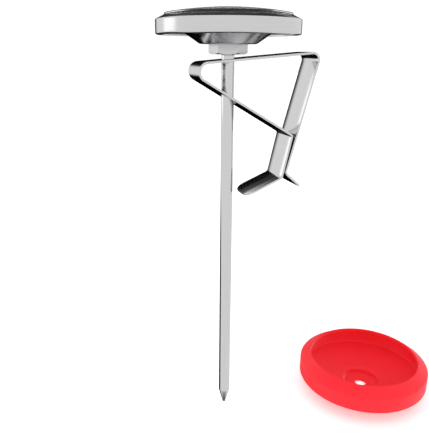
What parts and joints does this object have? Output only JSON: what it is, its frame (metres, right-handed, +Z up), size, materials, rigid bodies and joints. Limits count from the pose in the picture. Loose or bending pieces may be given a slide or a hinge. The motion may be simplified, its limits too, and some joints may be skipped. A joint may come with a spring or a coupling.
{
  "type": "dial thermometer",
  "caption": "Dial thermometer with a long probe stem, a sliding spring clip for a pot's wall and a removable red silicone cover for the head.",
  "frame": {"origin": "centre of the stem's flat tip", "axes": "+Z up the stem towards the dial; +X from the stem towards the clip's jaw; +Y towards the top of the dial"},
  "size_m": [0.1025, 0.0541, 0.1405],
  "materials": {
    "steel_tube": "fine brushed stainless steel",
    "steel_bezel": "circular brushed stainless steel",
    "steel_spring": "satin spring steel strip",
    "steel_inner": "plain stainless steel",
    "brass": "turned brass",
    "bimetal": "bimetal wire",
    "glass": "clear domed lens",
    "black_rubber": "matte black rubber",
    "dial_white": "satin white print on aluminium",
    "pointer_red": "satin red enamel",
    "cap_cream": "cream plastic",
    "silicone_red": "satin red silicone rubber"
  },
  "bodies": {
    "stem": {"stem_tube": "steel_tube", "stem_tip": "steel_tube", "hex_nut": "steel_tube", "stem_seal": "black_rubber", "stem_collar": "steel_inner", "friction_washer": "steel_inner", "coil_anchor": "brass", "bimetal_coil": "bimetal", "lower_shaft_guide": "brass", "upper_shaft_guide": "brass"},
    "case": {"case_cup": "steel_bezel", "bezel_ring": "steel_bezel", "lower_dial_ring": "steel_inner", "dial_plate": "dial_white", "upper_dial_ring": "steel_inner", "lens": "glass", "lens_gasket": "black_rubber"},
    "pointer": {"pointer_shaft": "steel_inner", "pointer": "pointer_red", "pointer_hub": "pointer_red", "hub_cap": "cap_cream"},
    "clip_frame": {"clip_upper": "steel_spring"},
    "clip_jaw": {"clip_lower": "steel_spring"},
    "cover": {"silicone_cover": "silicone_red"}
  },
  "joints": [
    {"name": "case_turn", "type": "hinge", "parent": "stem", "child": "case", "pos_m": [0, 0, 0.13], "axis": [0, 0, 1], "range_deg": [-20, 20]},
    {"name": "pointer_sweep", "type": "hinge", "parent": "stem", "child": "pointer", "pos_m": [0, 0, 0.135], "axis": [0, 0, -1], "range_deg": [-75, 255], "stiffness_Nm_per_rad": 0.0001, "deforming": ["bimetal_coil"]},
    {"name": "clip_slide", "type": "slide", "parent": "stem", "child": "clip_frame", "axis": [0, 0, 1], "range_m": [-0.075, 0.0008]},
    {"name": "jaw_open", "type": "hinge", "parent": "clip_frame", "child": "clip_jaw", "pos_m": [-0.01085, 0, 0.1219], "axis": [0, 1, 0], "range_deg": [0, 3.6], "stiffness_Nm_per_rad": 1, "springref_deg": -8.59},
    {"name": "cover_fit", "type": "slide", "parent": "stem", "child": "cover", "axis": [-0.405, 0.0537, 0.9127], "range_m": [0, 0.13777], "deforming": ["silicone_cover"]}
  ]
}
